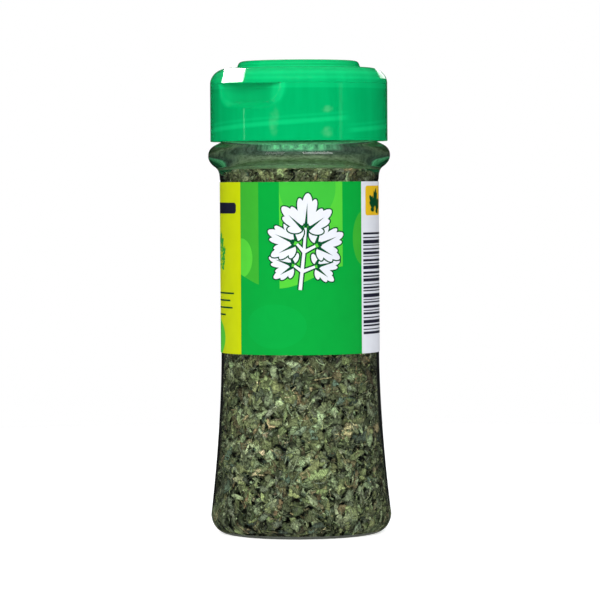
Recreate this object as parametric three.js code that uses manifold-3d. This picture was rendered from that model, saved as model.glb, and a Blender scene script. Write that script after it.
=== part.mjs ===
// A glass spice jar of dried coriander leaf, standing closed on its foot ring.
// Millimetres, +Z up, origin under the middle of the foot, the printed front towards -Y.
// The jar is clear glass with a three-start screw neck. The cap is a translucent moulding in two
// halves, a threaded base with a sifter deck and a lid that flips back on a thin living hinge.
import * as THREE from "three";
import { mergeVertices } from "three/addons/utils/BufferGeometryUtils.js";
import Module from "manifold-3d";

const wasm = await Module();
wasm.setup();

// Driving dimensions of the glass
const ROUND_SIDES = 48;
const FOOT_RADIUS = 21.5;
const FOOT_FILLET_HEIGHT = 4.5;
const FOOT_RING_OUTER = 17;
const FOOT_RING_INNER = 15;
const PUNT_HEIGHT = 1;
const BOTTOM_THICKNESS = 1.2;
const WAIST_RADIUS = 18.95;
const LABEL_LAND_RADIUS = 18.82;
const WALL = 1.5;
const INNER_WAIST = WAIST_RADIUS - WALL;
const FLARE_TOP = 44;
const INNER_FLOOR_RADIUS = 16;
const INNER_CORNER_HEIGHT = 3.8;
const INNER_FLARE_BEND = 18.5;
const SHOULDER_INSIDE = 86.5;
const BEAD_RADIUS = 21.67;
const BEAD_HEIGHT = 90;
const NECK_RADIUS = 17.9;
const NECK_START = 93.5;
const BORE_RADIUS = 15.3;
const LIP_HEIGHT = 101.2;
const LIP_ROUNDING = 0.9;

// Driving dimensions of the screw thread
const THREAD_STARTS = 3;
const THREAD_LEAD = 9;
const THREAD_SWEEP = 128;
const THREAD_FADE = 0.08;
const GLASS_THREAD_START = 29;
const GLASS_THREAD_HEIGHT = 96.3;
const GLASS_THREAD_CREST = 19.2;
const CAP_THREAD_CREST = 18.25;
const CAP_THREAD_DELAY = 30;
const THREAD_SINK = 0.4;

// Driving dimensions of the label
const LABEL_BOTTOM = 43.3;
const LABEL_TOP = 83.8;
const LABEL_THICKNESS = 0.1;
const LABEL_GAP = 0.05;
const LABEL_LAP_SIDES = 2;
const LABEL_SEAM = 97.5;

// Driving dimensions of the leaf filling
const FILL_GAP = 0.15;
const FILL_EDGE_HEIGHT = 88.6;
const FILL_CROWN_HEIGHT = 90.2;

// Driving dimensions of the cap
const CAP_TURN = -36;
const CAP_RADIUS = 21.1;
const CAP_BOTTOM = 93.4;
const CAP_WALL = 1.3;
const DECK_BOTTOM = 101.8;
const DECK_THICKNESS = 1.1;
const RIM_INNER = 19.4;
const PARTING_HEIGHT = 106.95;
const PARTING_GAP = 0.2;
const SPIGOT_RADIUS = 20.15;
const SPIGOT_HEIGHT = 107.8;
const SIFTER_MIDDLE_RADIUS = 3.3;
const SIFTER_RADIUS = 2.5;
const SIFTER_RING = 8.6;
const SIFTER_COUNT = 6;
const SIFTER_SIDES = 14;
const SEAL_INNER = 15.6;
const SEAL_OUTER = 17.2;
const SEAL_GAP = 0.1;

// Driving dimensions of the lid
const LID_WALL = 0.65;
const SHOULDER_START = 107.7;
const SHOULDER_WIDTH = 4.1;
const LID_SHOULDER_TOP = 110.8;
const PLATFORM_FOOT = 14.8;
const PLATFORM_RADIUS = 12.9;
const PLATFORM_HEIGHT = 112.5;
const LID_ROOF = 1.1;
const RIB_RADIUS = 16.2;
const RIB_WALL = 0.8;
const RIB_BOTTOM = 103.3;

// Driving dimensions of the thumb recess and the living hinge
const RECESS_HALF_WIDTH = 9.9;
const RECESS_BOTTOM = 101.1;
const RECESS_CORNER = 5;
const RECESS_BACK = 19;
const RECESS_WALL = 0.8;
const HINGE_FLAT = 20.3;
const HINGE_FLAT_WIDTH = 16;
const HINGE_FLAT_DEPTH = 3;
const HINGE_FLAT_BOTTOM = 105;
const HINGE_FLAT_TOP = 108.8;
const HINGE_WIDTH = 10;
const HINGE_INNER = 20.55;
const HINGE_OUTER = 20.9;
const HINGE_MARGIN = 0.3;

// Changes a closed three.js geometry into a solid that can be cut and joined.
function solidOf(geometry) {
  const bare = geometry.clone();
  bare.deleteAttribute("normal");
  bare.deleteAttribute("uv");
  const merged = mergeVertices(bare, 1e-4);
  const mesh = new wasm.Mesh({
    numProp: 3,
    vertProperties: merged.attributes.position.array,
    triVerts: Uint32Array.from(merged.index.array),
  });
  return new wasm.Manifold(mesh);
}

// Changes a cut or joined solid back into a three.js geometry.
function geometryOf(solid) {
  const mesh = solid.getMesh();
  const geometry = new THREE.BufferGeometry();
  geometry.setAttribute("position", new THREE.BufferAttribute(mesh.vertProperties, 3));
  geometry.setIndex(new THREE.BufferAttribute(mesh.triVerts, 1));
  geometry.computeVertexNormals();
  return geometry;
}

// Turns a profile of radius and height about the jar's upright axis.
function turned(points) {
  const geometry = new THREE.LatheGeometry(points, ROUND_SIDES);
  geometry.rotateX(Math.PI / 2);
  return geometry;
}

// Gives a path's points, with one radius and height on each.
function profile(draw, divisions) {
  const path = new THREE.Path();
  draw(path);
  return path.getPoints(divisions);
}

// A trapezoid rib wound once along the thread's helix, sunk into the wall it stands on.
function threadRib(rootRadius, crestRadius, rootHalf, crestHalf, startAngle, startHeight) {
  const inward = crestRadius < rootRadius;
  const sunk = rootRadius + (inward ? THREAD_SINK : -THREAD_SINK);
  const section = new THREE.Shape();
  section.moveTo(sunk, -rootHalf);
  section.lineTo(crestRadius, -crestHalf);
  section.lineTo(crestRadius, crestHalf);
  section.lineTo(sunk, rootHalf);
  section.closePath();
  const steps = 14;
  const bar = new THREE.ExtrudeGeometry(section, { depth: 1, steps, bevelEnabled: false });
  const place = bar.attributes.position;
  const sweep = THREE.MathUtils.degToRad(THREAD_SWEEP);
  for (let i = 0; i < place.count; i += 1) {
    const along = 1 - place.getZ(i);
    const full = Math.min(1, along / THREAD_FADE, (1 - along) / THREAD_FADE);
    const radius = THREE.MathUtils.lerp(sunk, place.getX(i), full);
    const angle = THREE.MathUtils.degToRad(startAngle) + along * sweep;
    const climb = THREAD_LEAD * (along * THREAD_SWEEP) / 360;
    const height = startHeight + climb + place.getY(i) * (0.4 + 0.6 * full);
    place.setXYZ(i, radius * Math.cos(angle), radius * Math.sin(angle), height);
  }
  return solidOf(bar);
}

// The three equal ribs of one thread, a third of a turn apart.
function threadRibs(rootRadius, crestRadius, rootHalf, crestHalf, startAngle, startHeight) {
  const ribs = [];
  for (let i = 0; i < THREAD_STARTS; i += 1) {
    const angle = startAngle + (i * 360) / THREAD_STARTS;
    ribs.push(threadRib(rootRadius, crestRadius, rootHalf, crestHalf, angle, startHeight));
  }
  return ribs;
}

// The outside of the glass, from under the foot up to the lip and over it into the bore.
function outsideOfGlass() {
  return profile((path) => {
    path.moveTo(0, PUNT_HEIGHT);
    path.quadraticCurveTo(10, PUNT_HEIGHT, FOOT_RING_INNER, 0);
    path.lineTo(FOOT_RING_OUTER, 0);
    path.bezierCurveTo(19.6, 0, 21.3, 1.8, FOOT_RADIUS, FOOT_FILLET_HEIGHT);
    path.bezierCurveTo(19.97, 17.5, 18.97, 31, WAIST_RADIUS, LABEL_BOTTOM - 0.6);
    path.lineTo(LABEL_LAND_RADIUS, LABEL_BOTTOM - 0.3);
    path.lineTo(LABEL_LAND_RADIUS, LABEL_TOP + 0.3);
    path.lineTo(WAIST_RADIUS, LABEL_TOP + 0.7);
    path.bezierCurveTo(19, 86.4, 19.4, 87, 20.3, 87.55);
    path.bezierCurveTo(21.1, 88.2, BEAD_RADIUS, 89, BEAD_RADIUS, BEAD_HEIGHT);
    path.bezierCurveTo(BEAD_RADIUS, 91.2, 21.1, 92, 20.2, 92.5);
    path.bezierCurveTo(19.3, 93, 18.4, 93.3, NECK_RADIUS, NECK_START + 0.3);
    path.lineTo(NECK_RADIUS, LIP_HEIGHT - LIP_ROUNDING);
    path.quadraticCurveTo(NECK_RADIUS, LIP_HEIGHT, NECK_RADIUS - LIP_ROUNDING, LIP_HEIGHT);
    path.lineTo(BORE_RADIUS + LIP_ROUNDING / 2, LIP_HEIGHT);
    path.lineTo(BORE_RADIUS, LIP_HEIGHT - LIP_ROUNDING / 2);
    path.lineTo(BORE_RADIUS, NECK_START);
    path.bezierCurveTo(BORE_RADIUS, 90.5, INNER_WAIST, 90, INNER_WAIST, SHOULDER_INSIDE);
  }, 4);
}

// The inside of the glass from the middle of its bottom to the shoulder, drawn in by a gap.
function insideOfGlass(gap) {
  const bottom = PUNT_HEIGHT + BOTTOM_THICKNESS + gap;
  const foot = FOOT_RADIUS - WALL - gap;
  const waist = INNER_WAIST - gap;
  return profile((path) => {
    path.moveTo(0, bottom);
    path.lineTo(INNER_FLOOR_RADIUS, bottom);
    path.bezierCurveTo(18.6, bottom, foot, bottom + 1.1, foot, bottom + INNER_CORNER_HEIGHT);
    path.bezierCurveTo(INNER_FLARE_BEND - gap, 19, waist, 31, waist, FLARE_TOP);
    path.lineTo(waist, SHOULDER_INSIDE);
  }, 4);
}

// The jar: turned glass with the three ribs of the screw thread round its neck.
function glassJar() {
  const ribs = threadRibs(
    NECK_RADIUS,
    GLASS_THREAD_CREST,
    0.95,
    0.4,
    GLASS_THREAD_START,
    GLASS_THREAD_HEIGHT,
  );
  const outline = [...outsideOfGlass(), ...insideOfGlass(0).reverse().slice(1)];
  return geometryOf(ribs.reduce((body, rib) => body.add(rib), solidOf(turned(outline))));
}

// The label: one strip wound round the waist, its end lapped over its start.
function wrapLabel() {
  const first = LABEL_LAND_RADIUS + LABEL_GAP;
  const lift = LABEL_THICKNESS + 0.03;
  const outer = [];
  const inner = [];
  for (let i = 0; i <= ROUND_SIDES + LABEL_LAP_SIDES; i += 1) {
    const angle = THREE.MathUtils.degToRad(LABEL_SEAM + (i * 360) / ROUND_SIDES);
    const radius = first + (i >= ROUND_SIDES - 1 ? lift : 0);
    const way = new THREE.Vector2(Math.cos(angle), Math.sin(angle));
    inner.push(way.clone().multiplyScalar(radius));
    outer.push(way.multiplyScalar(radius + LABEL_THICKNESS));
  }
  const strip = new THREE.Shape([...outer, ...inner.reverse()]);
  const depth = LABEL_TOP - LABEL_BOTTOM;
  const geometry = new THREE.ExtrudeGeometry(strip, { depth, bevelEnabled: false });
  geometry.translate(0, 0, LABEL_BOTTOM);
  return geometry;
}

// The leaf filling: one heap that lies against the glass all round, with a low crown on top.
function corianderFill() {
  const crown = profile((path) => {
    path.moveTo(INNER_WAIST - FILL_GAP - 0.5, FILL_EDGE_HEIGHT);
    path.quadraticCurveTo(8, FILL_CROWN_HEIGHT, 0, FILL_CROWN_HEIGHT);
  }, 4);
  return turned([...insideOfGlass(FILL_GAP), ...crown]);
}

// The soft ring between the deck and the glass lip.
function sealRing() {
  const low = LIP_HEIGHT + SEAL_GAP;
  const high = DECK_BOTTOM - SEAL_GAP;
  return turned([
    new THREE.Vector2(SEAL_INNER, low),
    new THREE.Vector2(SEAL_OUTER, low),
    new THREE.Vector2(SEAL_OUTER, high),
    new THREE.Vector2(SEAL_INNER, high),
    new THREE.Vector2(SEAL_INNER, low),
  ]);
}

// The U-shaped block that presses the thumb recess into the front of the cap, grown by a margin.
function recessBlock(margin) {
  const half = RECESS_HALF_WIDTH + margin;
  const bottom = RECESS_BOTTOM - margin;
  const corner = RECESS_CORNER + margin;
  const top = PARTING_HEIGHT + 5;
  const outline = new THREE.Shape();
  outline.moveTo(-half, top);
  outline.lineTo(-half, bottom + corner);
  outline.absarc(-half + corner, bottom + corner, corner, Math.PI, 1.5 * Math.PI);
  outline.absarc(half - corner, bottom + corner, corner, 1.5 * Math.PI, 2 * Math.PI);
  outline.lineTo(half, top);
  outline.closePath();
  const block = new THREE.ExtrudeGeometry(outline, {
    depth: 6,
    bevelEnabled: false,
    curveSegments: 6,
  });
  block.rotateX(Math.PI / 2);
  block.translate(0, -RECESS_BACK + margin, 0);
  return solidOf(block);
}

// The flat across the back of the cap on which the living hinge lies.
function hingeFlat() {
  const height = HINGE_FLAT_TOP - HINGE_FLAT_BOTTOM;
  const block = new THREE.BoxGeometry(HINGE_FLAT_WIDTH, HINGE_FLAT_DEPTH, height);
  block.translate(0, HINGE_FLAT + HINGE_FLAT_DEPTH / 2, HINGE_FLAT_BOTTOM + height / 2);
  return solidOf(block);
}

// The sifter holes through the deck: a larger one in the middle and a ring round it.
function sifterHoles() {
  const places = [[0, 0, SIFTER_MIDDLE_RADIUS]];
  for (let i = 0; i < SIFTER_COUNT; i += 1) {
    const angle = (i * 2 * Math.PI) / SIFTER_COUNT;
    places.push([SIFTER_RING * Math.cos(angle), SIFTER_RING * Math.sin(angle), SIFTER_RADIUS]);
  }
  return places.map(([x, y, radius]) => {
    const drill = new THREE.CylinderGeometry(radius, radius, 3, SIFTER_SIDES);
    drill.rotateX(Math.PI / 2);
    drill.translate(x, y, DECK_BOTTOM + DECK_THICKNESS / 2);
    return solidOf(drill);
  });
}

// The cap base: outer wall with an inner thread, a sifter deck, and a stepped rim for the lid.
function capBase() {
  const skirtInner = CAP_RADIUS - CAP_WALL;
  const ledge = PARTING_HEIGHT - PARTING_GAP / 2;
  const deckTop = DECK_BOTTOM + DECK_THICKNESS;
  const outside = turned([
    new THREE.Vector2(0, CAP_BOTTOM),
    new THREE.Vector2(CAP_RADIUS - 0.2, CAP_BOTTOM),
    new THREE.Vector2(CAP_RADIUS, CAP_BOTTOM + 0.2),
    new THREE.Vector2(CAP_RADIUS, ledge),
    new THREE.Vector2(SPIGOT_RADIUS, ledge),
    new THREE.Vector2(SPIGOT_RADIUS - 0.15, SPIGOT_HEIGHT),
    new THREE.Vector2(0, SPIGOT_HEIGHT),
  ]);
  const socket = turned([
    new THREE.Vector2(0, CAP_BOTTOM - 1),
    new THREE.Vector2(skirtInner, CAP_BOTTOM - 1),
    new THREE.Vector2(skirtInner, DECK_BOTTOM - 0.8),
    new THREE.Vector2(skirtInner - 0.8, DECK_BOTTOM),
    new THREE.Vector2(0, DECK_BOTTOM),
  ]);
  const chamber = turned([
    new THREE.Vector2(0, deckTop),
    new THREE.Vector2(RIM_INNER - 0.5, deckTop),
    new THREE.Vector2(RIM_INNER, deckTop + 0.5),
    new THREE.Vector2(RIM_INNER, SPIGOT_HEIGHT + 1),
    new THREE.Vector2(0, SPIGOT_HEIGHT + 1),
  ]);
  const hollow = solidOf(outside)
    .subtract(recessBlock(0))
    .subtract(solidOf(socket).subtract(recessBlock(RECESS_WALL)))
    .subtract(solidOf(chamber).subtract(recessBlock(RECESS_WALL)))
    .subtract(hingeFlat());
  const ribs = threadRibs(
    skirtInner,
    CAP_THREAD_CREST,
    0.75,
    0.3,
    GLASS_THREAD_START + CAP_THREAD_DELAY - CAP_TURN,
    GLASS_THREAD_HEIGHT + THREAD_LEAD * (CAP_THREAD_DELAY / 360 - 0.5 / THREAD_STARTS),
  );
  const pierced = sifterHoles().reduce((body, hole) => body.subtract(hole), hollow);
  return geometryOf(ribs.reduce((body, rib) => body.add(rib), pierced));
}

// The lid: a thin wall over the spigot, a rounded shoulder, a raised round platform and a rib
// underneath that closes on the deck round the sifter holes.
function flipLid() {
  const bottom = PARTING_HEIGHT + PARTING_GAP / 2;
  const inner = CAP_RADIUS - LID_WALL;
  const roof = LID_SHOULDER_TOP - LID_ROOF;
  const rib = RIB_RADIUS - RIB_WALL;
  const shell = turned(
    profile((path) => {
      path.moveTo(0, roof + 0.1);
      path.lineTo(rib, roof);
      path.lineTo(rib + 0.15, RIB_BOTTOM);
      path.lineTo(RIB_RADIUS - 0.15, RIB_BOTTOM);
      path.lineTo(RIB_RADIUS, roof);
      path.quadraticCurveTo(inner - 1, roof - 0.1, inner - 0.35, SPIGOT_HEIGHT + 0.4);
      path.lineTo(inner, SPIGOT_HEIGHT + 0.2);
      path.lineTo(inner, bottom);
      path.lineTo(CAP_RADIUS, bottom);
      path.lineTo(CAP_RADIUS, SHOULDER_START);
      path.absellipse(
        CAP_RADIUS - SHOULDER_WIDTH,
        SHOULDER_START,
        SHOULDER_WIDTH,
        LID_SHOULDER_TOP - SHOULDER_START,
        0,
        Math.PI / 2,
      );
      path.lineTo(PLATFORM_FOOT, LID_SHOULDER_TOP);
      path.lineTo(PLATFORM_FOOT - 0.4, PLATFORM_HEIGHT - 0.8);
      path.quadraticCurveTo(PLATFORM_FOOT - 0.7, PLATFORM_HEIGHT, PLATFORM_RADIUS, PLATFORM_HEIGHT);
      path.lineTo(0, PLATFORM_HEIGHT);
    }, 3),
  );
  return geometryOf(solidOf(shell).subtract(hingeFlat()));
}

// The living hinge: a thin straight web across the parting line at the back.
function livingHinge() {
  const height = HINGE_FLAT_TOP - HINGE_FLAT_BOTTOM - 2 * HINGE_MARGIN;
  const depth = HINGE_OUTER - HINGE_INNER;
  const web = new THREE.BoxGeometry(HINGE_WIDTH, depth, height);
  web.translate(
    0,
    (HINGE_OUTER + HINGE_INNER) / 2,
    HINGE_FLAT_BOTTOM + HINGE_MARGIN + height / 2,
  );
  return web;
}

function piece(name, geometry, color, roughness, extra = {}) {
  const material = new THREE.MeshStandardMaterial({ color, roughness, metalness: 0, ...extra });
  const mesh = new THREE.Mesh(geometry, material);
  mesh.name = name;
  return mesh;
}

const CLEAR = { transparent: true, opacity: 0.35 };
const GREEN_TINT = { transparent: true, opacity: 0.8 };

// The cap halves and their hinge share one turn, which puts the thumb recess left of the front.
const cap = new THREE.Group();
cap.rotation.z = THREE.MathUtils.degToRad(CAP_TURN);
cap.add(piece("cap_base", capBase(), 0x00a85c, 0.3, GREEN_TINT));
cap.add(piece("flip_lid", flipLid(), 0x00b864, 0.28, GREEN_TINT));
cap.add(piece("living_hinge", livingHinge(), 0x00a85c, 0.35, GREEN_TINT));

const jar = new THREE.Group();
jar.add(piece("glass_jar", glassJar(), 0xdfe8e4, 0.05, CLEAR));
jar.add(piece("wrap_label", wrapLabel(), 0x3fb83c, 0.45));
jar.add(piece("coriander_fill", corianderFill(), 0x4a5636, 0.9));
jar.add(piece("seal_ring", sealRing(), 0xf0efe8, 0.6));
jar.add(cap);

export default jar;
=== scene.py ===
import math
from functools import partial

import bmesh
import bpy
import numpy as np
from mathutils import Matrix, Vector, noise
from mathutils.geometry import delaunay_2d_cdt


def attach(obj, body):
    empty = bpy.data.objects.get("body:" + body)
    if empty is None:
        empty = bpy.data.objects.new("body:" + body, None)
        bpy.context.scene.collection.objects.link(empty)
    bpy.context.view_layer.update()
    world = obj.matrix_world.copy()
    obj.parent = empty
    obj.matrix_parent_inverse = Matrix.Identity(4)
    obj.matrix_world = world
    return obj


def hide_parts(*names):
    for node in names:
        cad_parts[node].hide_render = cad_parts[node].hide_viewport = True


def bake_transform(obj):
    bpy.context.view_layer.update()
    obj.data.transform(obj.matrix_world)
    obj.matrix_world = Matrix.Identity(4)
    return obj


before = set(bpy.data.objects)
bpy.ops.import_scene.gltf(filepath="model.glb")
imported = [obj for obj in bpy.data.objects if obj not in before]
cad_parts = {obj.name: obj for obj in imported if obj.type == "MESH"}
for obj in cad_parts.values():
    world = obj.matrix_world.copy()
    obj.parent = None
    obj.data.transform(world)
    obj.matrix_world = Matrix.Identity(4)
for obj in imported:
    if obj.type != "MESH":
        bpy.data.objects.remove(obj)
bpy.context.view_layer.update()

# Table, light and camera
# The jar stands on a pale table in front of white, with large soft lights high on both sides. The
# room stays dark at the height of the table, which draws the dark outline round the clear glass.
MM = 0.001
TABLE_RADIUS = 380
EYE = Vector((0, -850, 83.8)) * MM
AIM = Vector((0, 0, 55.6)) * MM
LENS = 213.8
LEAN = -0.36
JAR_MIDDLE = Vector((0, 0, 60)) * MM

scene = bpy.context.scene
scene.view_settings.view_transform = "Standard"

camera = bpy.data.objects.new("camera", bpy.data.cameras.new("camera"))
camera.data.sensor_width = 36
camera.data.lens = LENS
camera.location = EYE
level = (AIM - EYE).to_track_quat("-Z", "Y").to_matrix()
camera.rotation_euler = (level @ Matrix.Rotation(math.radians(LEAN), 3, "Z")).to_euler()
scene.collection.objects.link(camera)
scene.camera = camera


def soft_panel(name, side, height, distance, width, tall, brightness, kind="diffuse", only=None):
    """A soft light seen from the jar at so many degrees round from the front and up."""
    light = bpy.data.lights.new(name, "AREA")
    light.shape = "RECTANGLE"
    light.size = width
    light.size_y = tall
    light.energy = brightness * math.pi * width * tall
    panel = bpy.data.objects.new(name, light)
    round_, up = math.radians(side), math.radians(height)
    away = Vector((math.sin(round_) * math.cos(up), -math.cos(round_) * math.cos(up), math.sin(up)))
    panel.location = JAR_MIDDLE + away * distance
    panel.rotation_euler = (-away).to_track_quat("-Z", "Y").to_euler()
    panel.visible_camera = False
    panel.visible_diffuse = kind == "diffuse"
    panel.visible_glossy = kind == "gloss"
    panel.visible_transmission = False
    panel.light_linking.receiver_collection = only
    scene.collection.objects.link(panel)
    return panel


soft_panel("front_light", -5, 40, 0.95, 0.7, 0.6, 6.5)
soft_panel("left_light", -100, 38, 0.8, 0.7, 0.5, 0.15)
soft_panel("right_light", 105, 38, 0.8, 0.7, 0.5, 0.08)
soft_panel("top_light", 0, 84, 0.8, 0.7, 0.7, 2)
soft_panel("back_light", 180, 50, 0.9, 0.8, 0.5, 1.5)

# Light from the sides reaches the label in full. The glass turns most of it away from the leaf.
printed_parts = bpy.data.collections.new("printed_parts")
soft_panel("label_light_left", -100, 38, 0.8, 0.7, 0.5, 0.95, only=printed_parts)
soft_panel("label_light_right", 105, 38, 0.8, 0.7, 0.5, 0.95, only=printed_parts)

# Two low strips in front that draw thin bright lines along the bead of the glass
glass_parts = bpy.data.collections.new("glass_parts")
soft_panel("right_strip", 24, 19, 0.9, 0.6, 0.28, 5, "gloss", glass_parts)
soft_panel("left_strip", -31, 19, 0.9, 0.36, 0.28, 2, "gloss", glass_parts)

# The bright edges of two panels, which run as thin upright lines down the skirt of the cap
skirt_parts = bpy.data.collections.new("skirt_parts")
for name, side, wide, brightness in (("left_edge", -75, 0.01, 7), ("right_edge", 55, 0.07, 0.55)):
    edge = soft_panel(name, side, 10, 0.9, wide, 0.34, brightness, "gloss", skirt_parts)
    edge.data.color = (0.5, 1, 0.7)


def feed(socket, value):
    """Sets a plain value, or joins on a node's output, its first one unless another is given."""
    if isinstance(value, bpy.types.Node):
        value = value.outputs[0]
    if isinstance(value, bpy.types.NodeSocket):
        socket.id_data.links.new(value, socket)
    else:
        socket.default_value = value


def add_node(tree, kind, *values, **settings):
    """Adds a node and feeds its inputs, in their order or by their names."""
    node = tree.nodes.new("ShaderNode" + kind)
    named = []
    for name, value in settings.items():
        if name.islower():
            setattr(node, name, value)
        else:
            named.append((name.replace("_", " "), value))
    for key, value in [*enumerate(values), *named]:
        feed(node.inputs[key], value)
    return node


def color_steps(add, source, steps):
    """Colours that change into one another, each at its own place along the source."""
    ramp = add("ValToRGB", source)
    elements = ramp.color_ramp.elements
    while len(elements) < len(steps):
        elements.new(0.5)
    for element, (spot, color) in zip(elements, steps):
        element.position = spot
        element.color = (*color, 1)
    return ramp


def surroundings():
    """White behind the jar, a soft light room for plain surfaces and a dim one for shiny ones."""
    world = bpy.data.worlds.new("room")
    scene.world = world
    world.use_nodes = True
    world.node_tree.nodes.clear()
    add = partial(add_node, world.node_tree)
    rise = add("SeparateXYZ", add("TexCoord").outputs["Generated"]).outputs["Z"]
    grays = ((0.0, 0.01), (0.6, 0.012), (0.75, 0.05), (1.0, 0.12))
    steps = [(spot, (gray * 0.97, gray, gray * 1.02)) for spot, gray in grays]
    dim = add("Background", color_steps(add, add("MapRange", rise, -1), steps))
    light = add("Background", (0.97, 1, 1.02, 1), 0.15)
    white = add("Background", (1, 1, 1, 1))
    seen = add("LightPath").outputs
    plain = add("MixShader", seen["Is Diffuse Ray"], dim, light)
    add("OutputWorld", add("MixShader", seen["Is Camera Ray"], plain, white))


surroundings()


def principled(name, color, roughness, **sockets):
    """A material with plain values set, the way to add nodes to it, and its shader's inputs."""
    material = bpy.data.materials.new(name)
    material.use_nodes = True
    inputs = material.node_tree.nodes["Principled BSDF"].inputs
    inputs["Base Color"].default_value = (*color, 1)
    inputs["Roughness"].default_value = roughness
    for socket, value in sockets.items():
        inputs[socket.replace("_", " ")].default_value = value
    return material, partial(add_node, material.node_tree), inputs


def raise_surface(add, inputs, pattern, strength, depth):
    """Raises a surface by a pattern, so strongly and so many metres at most."""
    feed(inputs["Normal"], add("Bump", Strength=strength, Distance=depth, Height=pattern))


def oval(x, z, wide, tall, count=40):
    return [
        (x + wide * math.cos(a), z + tall * math.sin(a))
        for a in np.linspace(0, 2 * math.pi, count, endpoint=False)
    ]


def make_piece(name, vertices, faces, materials, inks=None, sharp=35, turn=0, flat=False, uvs=None):
    """Makes a mesh from millimetre points, turned about the jar's axis, with its materials."""
    spun = Matrix.Rotation(math.radians(turn), 3, "Z") * MM
    points = np.array(vertices, float) @ np.array(spun).T
    mesh = bpy.data.meshes.new(name)
    mesh.from_pydata(points.tolist(), [], faces)
    for material in materials:
        mesh.materials.append(material)
    if inks is not None:
        mesh.polygons.foreach_set("material_index", inks)
    mesh.polygons.foreach_set("use_smooth", [not flat] * len(mesh.polygons))
    if not flat:
        mesh.set_sharp_from_angle(angle=math.radians(sharp))
    if uvs is not None:
        layer = mesh.uv_layers.new(name="OFBake")
        layer.data.foreach_set("uv", np.array(uvs, np.float32).ravel())
    mesh.update()
    piece = bpy.data.objects.new(name, mesh)
    scene.collection.objects.link(piece)
    return piece


def pale_table():
    white = principled(
        "table_white", (0.9, 0.9, 0.9), 0.9,
        Specular_IOR_Level=0.0, Emission_Color=(1, 1, 1, 1), Emission_Strength=0.35,
    )[0]
    rim = [(x, y, -0.02) for x, y in oval(0, 0, TABLE_RADIUS, TABLE_RADIUS, 96)]
    table = make_piece("table", rim, [tuple(range(len(rim)))], [white])
    table.visible_transmission = False
    table.visible_glossy = False


pale_table()


# Glass jar
# One piece of clear glass, pressed and blown in a mould: waisted body, thick foot with a shallow
# punt, a bead under the neck and three rounded screw ribs that climb a right-handed thread.
WALL = 1.5
WAIST_RADIUS = 18.95
LAND_RADIUS = 18.82
INNER_WAIST = WAIST_RADIUS - WALL
NECK_RADIUS = 17.9
BORE_RADIUS = 15.3
LIP_HEIGHT = 101.2
THREAD_STARTS = 3
THREAD_LEAD = 9
THREAD_SWEEP = 128
GLASS_THREAD_START = 29
GLASS_THREAD_HEIGHT = 96.3
THREAD_ZONE = (93.7, 100.3)
GLASS_RIB_HALF, GLASS_RIB_RISE = 1.05, 1.3
RIB_ENDS = 0.09
RIB_ROUNDNESS = 2.6
ROWS_INSIDE_LIP = 16
COLUMNS = 200
PIMPLED_BELOW, PIMPLED_FROM = 1.2, 14.5
LEAF_TOUCHES_TO = 87.2
DUST_AND_PAINTED_LIGHT_TO = 97


def bend(start, first, second, end, steps):
    """The points of a smooth curve after its start."""
    points = []
    for i in range(1, steps + 1):
        t = i / steps
        s = 1 - t
        weights = (s ** 3, 3 * s * s * t, 3 * s * t * t, t ** 3)
        corners = (start, first, second, end)
        points.append(tuple(sum(w * c[k] for w, c in zip(weights, corners)) for k in (0, 1)))
    return points


def straight(start, end, steps):
    return [
        tuple(a + (b - a) * i / steps for a, b in zip(start, end)) for i in range(1, steps + 1)
    ]


def outline(start, *parts):
    """A line of points: straight parts (end, steps) and bends (two pulls, end, steps)."""
    line = [start]
    for *corners, steps in parts:
        draw_part = bend if len(corners) == 3 else straight
        line += draw_part(line[-1], *corners, steps)
    return line


def glass_outside():
    """From the middle of the punt out, up, over the lip and down inside to the shoulder."""
    return outline(
        (0, 1),
        ((6.7, 1), (11.7, 0.67), (14.6, 0.1), 8),
        ((14.9, 0), (15.1, 0), (15.3, 0), 3),
        ((17, 0), 4),
        ((19.6, 0), (21.3, 1.8), (21.5, 4.5), 12),
        ((19.97, 17.5), (18.92, 31), (LAND_RADIUS, 42.9), 28),
        ((LAND_RADIUS, 84), 8),
        ((18.82, 84.2), (18.95, 84.3), (WAIST_RADIUS, 84.6), 3),
        ((19, 86.4), (19.4, 87), (20.3, 87.55), 8),
        ((21.1, 88.2), (21.67, 89), (21.67, 90), 8),
        ((21.67, 91.2), (21.1, 92), (20.2, 92.5), 8),
        ((19.3, 93), (18.4, 93.3), (NECK_RADIUS, 93.8), 8),
        ((NECK_RADIUS, 100.3), 33),
        ((17.9, 100.9), (17.5, 101.2), (16.8, LIP_HEIGHT), 6),
        ((15.8, 101.2), (15.3, 101), (BORE_RADIUS, 100.5), 5),
        ((BORE_RADIUS, 93.5), 6),
        ((BORE_RADIUS, 90.5), (INNER_WAIST, 90), (INNER_WAIST, 86.5), 10),
    )


def glass_inside():
    """From the middle of the inner bottom up to the shoulder."""
    floor = 2.2
    return [(0, floor), (7, floor), (13, floor)] + outline(
        (16, floor),
        ((18.6, floor), (20, floor + 1.1), (20, 6), 10),
        ((18.5, 19), (INNER_WAIST, 31), (INNER_WAIST, 44), 22),
        ((INNER_WAIST, 86.5), 8),
    )


def thread_rise(angle, height, start, first_height, half, rise, sweep=THREAD_SWEEP):
    """How far the nearest screw rib stands out at an angle in degrees and a height."""
    most = 0
    for i in range(THREAD_STARTS):
        along = ((angle - start - i * 360 / THREAD_STARTS) % 360) / sweep
        if along > 1:
            continue
        away = abs(height - first_height - THREAD_LEAD * along * sweep / 360) / half
        if away >= 1:
            continue
        ends = min(1, along / RIB_ENDS, (1 - along) / RIB_ENDS)
        fade = ends * ends * (3 - 2 * ends)
        most = max(most, rise * fade * (1 - away ** RIB_ROUNDNESS))
    return most


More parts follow.
